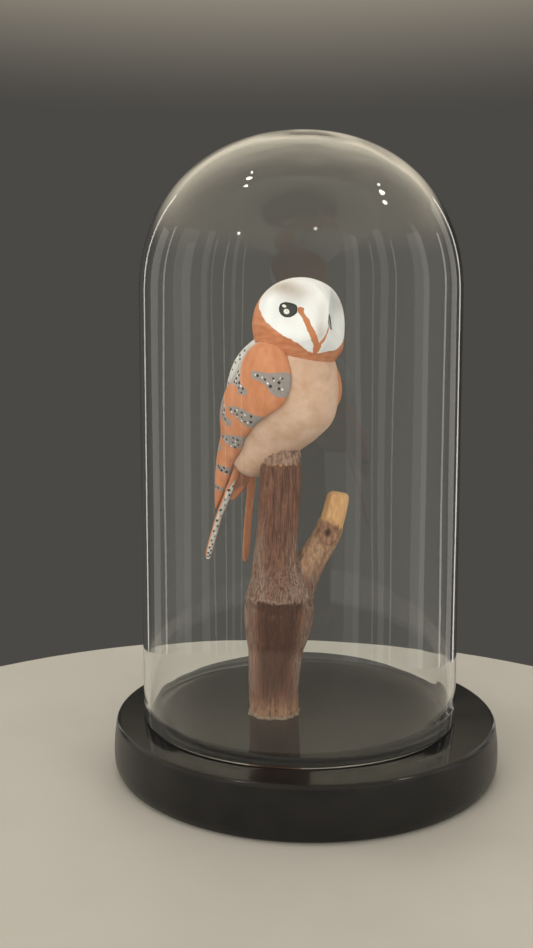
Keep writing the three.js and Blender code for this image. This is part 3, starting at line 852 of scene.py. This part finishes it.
# Grey patches on a wing: distance along the trunk's axis, degrees round from the belly.
WING_PATCHES = [
    [(45.9, 93), (47, 91.5), (47.9, 87.2), (49, 80.4), (50.6, 73.2), (51.9, 68), (52.8, 63),
     (53, 58), (53, 44), (46, 44), (44, 58.8), (43.4, 62.4), (43.6, 66.4), (44.2, 70),
     (45.2, 75.2), (45.3, 79.6), (44.8, 84.4), (44.4, 89.2), (44.8, 92.8)],
    [(62, 112), (56, 110), (51, 113), (47.5, 114), (44.3, 111), (41.6, 106.4), (39.8, 102.4),
     (39, 98), (39.2, 93.2), (38.8, 89.4), (37.3, 88), (35.6, 92.4), (35, 96.8), (35.6, 100.4),
     (36.9, 104.4), (36, 108), (35.2, 111), (34.5, 118), (34, 145), (62, 145)],
    [(25.8, 103.5), (27.4, 102.5), (29.7, 93.2), (31.2, 85.2), (31.3, 78), (31.7, 72.8),
     (32.6, 68.8), (32.6, 50), (26.5, 50), (24.9, 72.4), (24.3, 77.6), (25.1, 82.4),
     (25.5, 88.8), (25.2, 95.6), (25.1, 100.4)],
    [(26, 114), (24.4, 109), (22.3, 104.5), (21.4, 100.8), (22.2, 92.8), (20.2, 91.2),
     (17.8, 98), (18.5, 104), (18, 112), (17.5, 145), (26, 145)],
    [(10.6, 117), (13, 102), (15.8, 89.2), (18.6, 74.4), (19.6, 50), (14.5, 50), (12.2, 78),
     (9.8, 84.6), (9.5, 91.2), (9.2, 101.2), (8.7, 115)],
    [(4.8, 111.2), (3.2, 107.2), (0.3, 120), (1.6, 134), (3.8, 134)],
    [(-5.8, 117), (-3.7, 94.8), (-2.5, 77.2), (-2, 56), (-5.8, 56), (-6.2, 72.8),
     (-6.6, 86.8), (-7.3, 104), (-7.5, 117)],
    [(-15.6, 122), (-14.2, 80), (-14.4, 66), (-16.2, 66), (-16.7, 84), (-17.9, 119)],
]
WING_DOTS = [
    (46.6, 85.2), (47.1, 77.2), (49.1, 70.4), (50.6, 62), (48.8, 64), (46, 70.4), (46.8, 62.4),
    (41.3, 111.6), (40.8, 107.2), (38.7, 109.2), (36.9, 110), (37.5, 105.6), (38.7, 102.4),
    (37, 100), (38.1, 95.2), (36.4, 94.8), (26.6, 98.4), (27.6, 92.8), (26.9, 89.2),
    (29.2, 85.6), (27.3, 83.6), (26.3, 79.2), (30.2, 76), (27.6, 74), (23.3, 108.5),
    (21, 109), (20, 103.5), (10.2, 110.8), (11.1, 101.2), (14.7, 87.6), (15.2, 81.2),
    (12.4, 88.4), (12.8, 80.4), (10.5, 85.2), (-5.2, 103.2), (-5.5, 96.8), (-3.8, 84.4),
    (-5.8, 88.8), (-5.2, 76), (-16.4, 105.2), (-15.6, 89.2),
]
WING_WHITE_DOTS = [
    (46.2, 87.8), (47.1, 80.4), (48.5, 68.8), (50.4, 64), (46.4, 73.6), (47, 59.4),
    (39.9, 109.5), (37.9, 108), (38.3, 98.5), (28.5, 91.2), (26, 96.4), (26, 88.2),
    (29.2, 81.6), (25.8, 82.2), (26.6, 76.2), (24.6, 111), (22, 108), (10.1, 107),
    (10.1, 99.2), (9.9, 91.2), (12.4, 84), (13.8, 84),
]
MANTLE_DOTS = [
    (46.4, 222.6), (43.6, 221.4), (42.4, 224.2), (39.8, 221.4), (36.2, 220.8), (32.6, 216.6),
    (48, 213), (44.5, 210), (41, 207), (38, 213), (34.5, 208), (44, 198), (39, 196), (34, 200),
    (29.5, 207), (47.5, 200), (29, 216), (42, 187), (36.5, 186),
]

# On the head: degrees to the owl's left and degrees up.
FACE = [
    (0, -36.5), (-7, -39.5), (-19.5, -37), (-31, -31), (-41, -27.5), (-54.5, -23), (-68, -15.5),
    (-77, -8.5), (-84.5, -2), (-87.5, 3), (-93, 6), (-98, 12), (-102, 19), (-107, 28),
    (-108, 34), (-104, 41), (-94, 50), (-83, 61), (-62, 70), (-50, 78), (0, 86), (50, 78),
    (62, 70), (83, 61), (94, 50), (104, 41), (107, 30), (100, 16), (88, 2), (67.5, -8.5),
    (57, -15.5), (34.5, -25), (22.5, -30.5), (10, -34),
]
NEAR_EYE = [
    (-64.5, 17.5), (-60, 20.5), (-52, 22), (-46, 21.5), (-43, 19.5), (-42, 15), (-42, 9.5),
    (-46, 4.5), (-51, 0), (-57.5, -1), (-62.5, 1.5), (-65.5, 6), (-66.5, 10.5), (-66, 15),
]
FAR_EYE = [(0.5, 10), (4, 11), (9, 8), (13, 2), (16, -7), (10, -7), (4, -4), (1, -1), (0, 5)]
GLINTS = [(-61, 14.5, 2.5, 2.0), (-57, 7.8, 3.6, 3.9)]  # middle and half sizes
GLINT_MARKS = [(-56.8, 8.6, 0.9, 1.2)]
FAR_GLINT = [(1.5, 5, 0.2), (5, 0.5, 0.3), (9.5, -4, 0.3)]
NEAR_STRIPE = [
    (-43, 18), (-41, 10.5), (-36.5, 7), (-32, 2), (-26.5, -8.5), (-21.5, -16.5), (-17, -23),
    (-12.5, -29), (-9, -37), (-6, -40), (-3.5, -36), (-4, -28), (-7.5, -23), (-11.5, -17.5),
    (-14.5, -11.5), (-18.5, -7), (-20, -1.5), (-25, 4), (-28, 7.5), (-31, 13), (-31.5, 18.5),
    (-37, 20),
]
FAR_STRIPE = [
    (3, -5, 0.3), (1.5, -12, 0.35), (-1, -19, 0.4), (-4, -25, 0.55), (-5.5, -31, 0.9),
    (-6, -37, 0.9),
]


# Painted shade on the face, in its hollows under the brow, beside the bill and beside the ridge,
# partly also the figure's grey airbrushing: strength, then the middle and half sizes in degrees.
SHADES = {
    "brow": [(0.95, -66, 38, 38, 13), (0.5, 46, 36, 24, 10)],
    "nose_shade": [(0.65, -7, -13, 7, 14), (0.3, -6, 14, 7, 16)],
    "far_shade": [(0.5, 14, 34, 19, 21)],
}


def face_chart(turn, rise):
    return np.asarray(turn) * np.cos(np.radians(rise)) * DEGREE, np.asarray(rise) * DEGREE


def on_face(points):
    """Outline or line points in the face's chart; a third number passes through."""
    return [(*face_chart(p[0], p[1]), *p[2:]) for p in points]


def ovals(turn, rise, places):
    """Distance to the nearest of some ovals in millimetres, about, positive inside."""
    return np.max([
        (1 - np.hypot((turn - a) / wide, (rise - e) / tall)) * min(wide, tall) * DEGREE
        for a, e, wide, tall in places
    ], axis=0)


def paint_head(made, turn, rise):
    u, v = face_chart(turn, rise)
    face, near_eye, far_eye, near_stripe = [
        polygon_distance(u, v, on_face(ring)) for ring in (FACE, NEAR_EYE, FAR_EYE, NEAR_STRIPE)
    ]
    far_stripe, far_glint = [line_distance(u, v, on_face(p)) for p in (FAR_STRIPE, FAR_GLINT)]
    shades = {
        name: sum(strength * spot(turn, rise, *where) for strength, *where in spots)
        for name, spots in SHADES.items()
    }
    shades["far_shade"] *= smoothstep(turn, -1, 1)
    attributes(
        made,
        face=face,
        eye=np.maximum(near_eye, far_eye),
        glint=np.maximum(far_glint, ovals(turn, rise, GLINTS)),
        glint_mark=ovals(turn, rise, GLINT_MARKS),
        bill=np.maximum(near_stripe, far_stripe),
        **shades,
    )


PLAIN_EDGE = 16  # degrees of the left wing, behind its front edge, that have no grey


def past_plain_edge(along, turn):
    """How far behind the plain orange front edge of the left wing, in millimetres."""
    return (turn - read_table(WING, along)[0] - PLAIN_EDGE) * DEGREE


def paint_wing(made, side, along, turn):
    """Grey patches on the wing; the left wing's front edge, all the photo shows of it, has none."""
    patches = [
        polygon_distance(along, turn * DEGREE, [(a, t * DEGREE) for a, t in ring])
        for ring in WING_PATCHES
    ]
    grey = np.max(patches, axis=0)
    if side > 0:
        grey = np.minimum(grey, past_plain_edge(along, turn))
    pale = smoothstep(along, 30, 44) * smoothstep(turn, 98, 108)
    # Darker, deeper orange towards the wing's tip.
    attributes(made, grey=grey, pale=pale, worn=0.45 * smoothstep(-along, 4, 30))


# -------- the owl's pieces


NEVER = -1.0  # a distance that keeps a painted area off a surface


def make_head(material):
    rise = np.arcsin(-np.cos(np.pi * np.arange(1, 180) / 180))
    rise, turn = grid(rise, ring_turns(320))
    level = np.cos(rise)
    directions = np.stack([level * np.cos(turn), level * np.sin(turn), np.sin(rise)], -1)
    reach, turn, rise = head_reach(directions)
    rings = owl_to_world(head_to_owl(directions * reach[..., None]))
    made = skin("owl_head_painted", rings, material)
    paint_head(made, np.append(turn, [0, 0]), np.append(rise, [-90, 90]))
    return made


def make_trunk(material):
    along = steps_between(TRUNK_START, TRUNK_END, 150)
    along, turn = grid(along, ring_turns(240))
    made = skin("owl_body_painted", owl_to_world(trunk_point(along, turn)), material)
    past = np.degrees(np.abs(math.pi - turn))
    behind_wings = (180 - (read_table(WING, along)[1] + MANTLE_BORDER) - past) * DEGREE
    round_nape = (along - NAPE_FROM) * 0.6 - past * 0.09 + 3
    mantle = np.maximum(behind_wings, round_nape)
    mauve = 1 - smoothstep(along, 8, 34)
    attributes(made, mantle=np.append(mantle, [-5, 5]), mauve=np.append(mauve, [1, 0]))
    return made


def make_wing(side, name, material):
    """The outer face from front to rear and the inner face back again, in one closed skin."""
    tip, shoulder = wing_span(side)
    along, across = steps_between(tip, shoulder, 150), -np.cos(np.pi * np.arange(0, 73) / 72)
    faces, charts = [], []
    for inner, steps in ((False, across), (True, across[::-4])):
        grid_along, grid_across = grid(along, steps)
        points, turn = wing_point(grid_along, grid_across, side, inner)
        faces.append(points)
        charts.append(np.stack([grid_along, turn]))
    rings = owl_to_world(np.concatenate(faces, 1))
    made = skin(name, rings, material, flip=side < 0)
    all_along, all_turn = np.concatenate(charts, 2).reshape(2, -1)
    paint_wing(made, side, np.append(all_along, [tip, shoulder]), np.append(all_turn, [100, 90]))
    return made


def prong_point(side, share, turn):
    """A point on a tail prong at a share of its length and a turn: 0 left, a quarter forward."""
    stretch = LEFT_LONGER if side > 0 else 1
    stations = [[x, y * side, z * stretch, *sizes] for x, y, z, *sizes in PRONG]
    return limb_point(stations, share, turn, (0, 1, 0), flat_section)


def prong_spread(share):
    """Degrees either way of the middle of its face over which the right prong is grey."""
    return 44 * smoothstep(share, 0.3, 0.44) + 50 * smoothstep(share, 0.9, 1)


def make_prong(side, name, material):
    share, turn = grid(np.linspace(0, 1, 110), ring_turns(48))
    made = skin(name, owl_to_world(prong_point(side, share, turn)), material)
    turn = np.degrees(turn)
    grey, shade = np.full_like(turn, NEVER), np.zeros_like(turn)
    if side < 0:
        near_face = (prong_spread(share) - np.abs(turn - PRONG_FACE)) * PRONG_DEGREE
        grey = np.where(share < PRONG_GREY_FROM, NEVER, near_face)
        shade = 0.6 * smoothstep(turn, 88, 74) * smoothstep(turn, 5, 20)
    attributes(made, grey=np.append(grey, [NEVER, -side]), shade=np.append(shade, [0, 0]))
    return made


def make_web(material):
    rings = owl_to_world(limb_rings(WEB, 50, 48, (0, 1, 0), flat_section))
    made = skin("owl_tail_web", rings, material)
    count = len(made.data.vertices)
    attributes(made, grey=np.full(count, NEVER), shade=np.full(count, 0.25))
    return made


DAB_HEIGHT, DAB_SIDES = 0.16, 14
DAB_RINGS = (1, -0.3), (0.86, 0.45), (0.5, 0.85)  # shares of a dab's radius and height


def make_dabs(name, points, normals, radii, material):
    """Closed lens-shaped dabs of paint that sit on a surface, in one mesh."""
    vertices, faces = [], []
    for point, normal, radius in zip(points, normals, radii):
        first = len(vertices)
        side = unit(np.cross(normal, (0.3, 0.2, 0.9)))
        other = np.cross(normal, side)
        for share, up in DAB_RINGS:
            for t in ring_turns(DAB_SIDES):
                flat = side * math.cos(t) + other * math.sin(t)
                vertices.append(point + flat * radius * share + normal * DAB_HEIGHT * up)
        vertices += [point - normal * DAB_HEIGHT, point + normal * DAB_HEIGHT]
        faces += [[first + i for i in face] for face in ring_faces(len(DAB_RINGS), DAB_SIDES)]
    return make_object(name, vertices, faces, material)


def dots_on(surface, places, inside, radius, seed, step=0.4):
    """Points, outward normals and uneven radii of dots at (a, b) places of a surface function."""
    a, b = np.array(places, float).T
    points = surface(a, b)
    normals = unit(np.cross(surface(a + step, b) - points, surface(a, b + step) - points))
    outward = np.sign(np.sum(normals * (points - inside), axis=-1, keepdims=True))
    draws = np.random.default_rng(seed).uniform(-1, 1, len(places))
    return points, normals * outward, radius * (1 + 0.22 * draws)


def wing_surface(side):
    """The wing's skin by distance along the trunk and degrees round from the belly."""

    def surface(along, turn):
        tip, shoulder = wing_span(side)
        front, rear, _ = read_table(WING, along)
        half = (rear - front) / 2 * closing(along, tip, shoulder, *WING_ROUND)
        across = np.clip((turn - (front + rear) / 2) / half, -1, 1)
        return owl_to_world(wing_point(along, across, side)[0])

    return surface


def mantle_surface(along, turn):
    return owl_to_world(trunk_point(along, np.radians(turn)))


def prong_surface(share, turn):
    return owl_to_world(prong_point(-1, share, turn))


def prong_dots():
    """Black and white dots that zigzag down the right prong's face: (share of its length, turn)."""
    shares = np.linspace(0.37, 0.93, 18)
    swing = np.where(np.arange(18) % 2, 19.0, -17.0)
    black = list(zip(shares, np.radians(PRONG_FACE + swing)))
    white = list(zip(shares[1:-1] + 0.012, np.radians(PRONG_FACE - 0.9 * swing[1:-1])))
    return black, white


# -------- assembly

made = revolve("base_turned", base_profile(), base_material())
place(made, "stand", "base_black", "base")
place(make_dome(glass_material()), "dome", "dome_glass", "glass_dome")
place(make_twig(bark_material()), "stand", "twig_wood", "perch_branch")
place(make_glue(glue_material()), "stand", "twig_wood", "perch_branch")

wing_paint, tail_paint = wing_material(), tail_material()
place(make_head(head_material()), "stand", "head_paint", "owl_head")
place(make_trunk(trunk_material()), "stand", "body_paint", "owl_trunk")
place(make_wing(-1, "owl_wing_right_painted", wing_paint), "stand", "wing_paint", "owl_wing_right")
place(make_wing(1, "owl_wing_left_painted", wing_paint), "stand", "wing_paint", "owl_wing_left")
place(make_prong(-1, "owl_tail_prong_right", tail_paint), "stand", "tail_paint", "owl_tail")
place(make_prong(1, "owl_tail_prong_left", tail_paint), "stand", "tail_paint", "owl_tail")
place(make_web(tail_paint), "stand", "tail_paint", "owl_tail")

WORDS = "black", "white"  # the order of the dots' colours in all that follows
WING_DOT_RADII, PRONG_DOT_RADII, MANTLE_DOT_RADIUS = (0.6, 0.42), (0.54, 0.42), 0.52
dot_paints = [dab_material(f"dot_paint_{w}", *tones) for w, tones in zip(WORDS, DOT_PAINTS)]
inside_body = owl_to_world(np.array([0, 0, 20.0]))
for seed, (side, label) in enumerate(((-1, "right"), (1, "left"))):
    lowest, tables = wing_span(side)[0] + 3, (WING_DOTS, WING_WHITE_DOTS)
    for word, table, radius, paint in zip(WORDS, tables, WING_DOT_RADII, dot_paints):
        places = [p for p in table if p[0] > lowest and (side < 0 or past_plain_edge(*p) > 0.5)]
        dots = dots_on(wing_surface(side), places, inside_body, radius, seed)
        made = make_dabs(f"wing_dots_{word}_{label}", *dots, paint)
        place(made, "stand", "wing_paint", f"owl_wing_{label}")

mantle_places = [*MANTLE_DOTS, *[(along + 0.7, 360 - turn) for along, turn in MANTLE_DOTS]]
dots = dots_on(mantle_surface, mantle_places, inside_body, MANTLE_DOT_RADIUS, 5)
place(make_dabs("mantle_dots_black", *dots, dot_paints[0]), "stand", "body_paint", "owl_trunk")

for word, places, radius, paint in zip(WORDS, prong_dots(), PRONG_DOT_RADII, dot_paints):
    share = np.array(places)[:, 0]
    middle_line = (prong_surface(share, 0 * share) + prong_surface(share, math.pi + 0 * share)) / 2
    dots = dots_on(prong_surface, places, middle_line, radius, 7, 0.02)
    place(make_dabs(f"tail_dots_{word}", *dots, paint), "stand", "tail_paint", "owl_tail")

# -------- camera, floor and light

scene = bpy.context.scene
camera_data = bpy.data.cameras.new("camera")
camera_data.sensor_width, camera_data.lens = 36, 35.31
camera = add_object("camera", camera_data)
camera.location = (-0.01725, -0.40792, 0.16806)  # solved from the outlines in the photo
camera.rotation_euler = (math.radians(90 - 5.663), 0, 0)
scene.camera = camera

FLOOR_RADIUS, FLOOR_X, FLOOR_Y, FLOOR_Z, FLOOR_SIDES = 240, -17, -50, -0.2, 96
FLOOR_PAINT = (0.31, 0.3, 0.28), (0.35, 0.34, 0.32)


def make_floor():
    m = Material("pale_floor")
    paint = m.set(Base_Color=m.mix(m.noise(0.02), *FLOOR_PAINT), Roughness=0.55)
    rim = [
        (FLOOR_X + FLOOR_RADIUS * math.cos(t), FLOOR_Y + FLOOR_RADIUS * math.sin(t), FLOOR_Z)
        for t in ring_turns(FLOOR_SIDES)
    ]
    return make_object("floor", rim, [list(range(FLOOR_SIDES))], paint)


floor = make_floor()

OWL_MIDDLE = (-0.01, -0.012, 0.16)
WARM = (1, 0.955, 0.88)
FILLS = {  # where, size, watts
    "overhead": ((-0.05, -0.2, 1.1), (0.7, 0.7), 3.7),
    "front_key": ((-0.6, -0.95, 0.45), (0.6, 0.6), 6.1),
    "front_right": ((0.7, -0.8, 0.3), (0.5, 0.6), 5.2),
    "front_low": ((0.1, -1.1, 0.03), (0.7, 0.3), 4.4),
    "side_left": ((-1.1, 0.1, 0.25), (0.5, 0.6), 6.6),
    "back_fill": ((0.1, 1.0, 0.6), (0.9, 0.6), 3.4),
}
# Upright strips round the dome, for the streaks in the glass: degrees from the camera's side
# to the right, width, watts.
STRIP_AWAY, STRIP_TALL, STRIP_POWER, STRIP_Z, STRIP_SWAY = 1.1, 1.3, 1.5, 0.12, 0.1
STRIPS = [
    (-139, 0.06, 0.3), (-120, 0.2, 0.3), (-108, 0.04, 0.2), (-88, 0.32, 0.36), (-84, 0.14, 0.15),
    (-67, 0.12, 0.22), (-60, 0.02, 0.06), (-52, 0.015, 0.08), (-46, 0.05, 0.09), (-40, 0.015, 0.05),
    (33, 0.2, 0.26), (36, 0.07, 0.08), (47, 0.02, 0.06), (54, 0.1, 0.2), (62, 0.015, 0.08),
    (85, 0.27, 0.4), (89, 0.09, 0.13), (113, 0.05, 0.22), (128, 0.2, 0.3), (141, 0.06, 0.3),
]
LAMPS = [  # x, y, z, size, watts of the small bright spots in the glass
    (-0.5, -0.12, 1.3, 0.05, 0.4), (-0.58, -0.24, 1.3, 0.035, 0.2),
    (-0.46, -0.02, 1.35, 0.02, 0.06), (0.85, -0.1, 1.25, 0.06, 0.5),
    (0.95, -0.24, 1.2, 0.05, 0.3), (0.78, 0.02, 1.3, 0.025, 0.08),
    (0.16, -1.1, 0.95, 0.03, 0.1), (-0.75, -0.7, 0.8, 0.03, 0.1),
]
NEAR_WALLS, FAR_WALL, CEILING = (0.33, 0.31, 0.27), (0.07, 0.066, 0.06), (0.72, 0.64, 0.5)


def area_light(name, at, towards, size, watts, glossy=True):
    """A lamp that isn't seen through the glass, nor in reflections where not glossy."""
    data = bpy.data.lights.new(name, "AREA")
    data.shape, data.size, data.size_y = "RECTANGLE", *size
    data.energy, data.color = watts, WARM
    light = add_object(name, data)
    light.location = at
    light.rotation_euler = (Vector(towards) - Vector(at)).to_track_quat("-Z", "Y").to_euler()
    light.visible_transmission = False
    light.visible_glossy = glossy


def studio_world():
    """A dim wall behind the object, paler walls in front and at the sides, and a pale ceiling."""
    world = bpy.data.worlds.new("studio")
    m = Nodes(world, "Generated", 1)
    walls = m.mix(m.step(m.axis("Y"), 0.1, 0.82), NEAR_WALLS, FAR_WALL)
    room = m.mix(m.step(m.axis("Z"), 0.26, 0.56), walls, CEILING)
    m.join(room, m.tree.nodes["Background"].inputs["Color"])
    return world


for name, (at, size, watts) in FILLS.items():
    area_light(name, at, OWL_MIDDLE, size, watts, glossy=False)
for number, (turn, width, watts) in enumerate(STRIPS):
    a = math.radians(turn)
    z = STRIP_Z + STRIP_SWAY * math.cos(2.4 * number)
    at = (STRIP_AWAY * math.sin(a), -STRIP_AWAY * math.cos(a), z)
    area_light(f"strip_{number}", at, (0, 0, z), (width, STRIP_TALL), STRIP_POWER * watts)
for number, (x, y, z, size, watts) in enumerate(LAMPS):
    area_light(f"lamp_{number}", (x, y, z), OWL_MIDDLE, (size, size), watts)
scene.world = studio_world()
scene.view_settings.view_transform = "Standard"
scene.view_settings.look = "None"

bpy.context.view_layer.update()
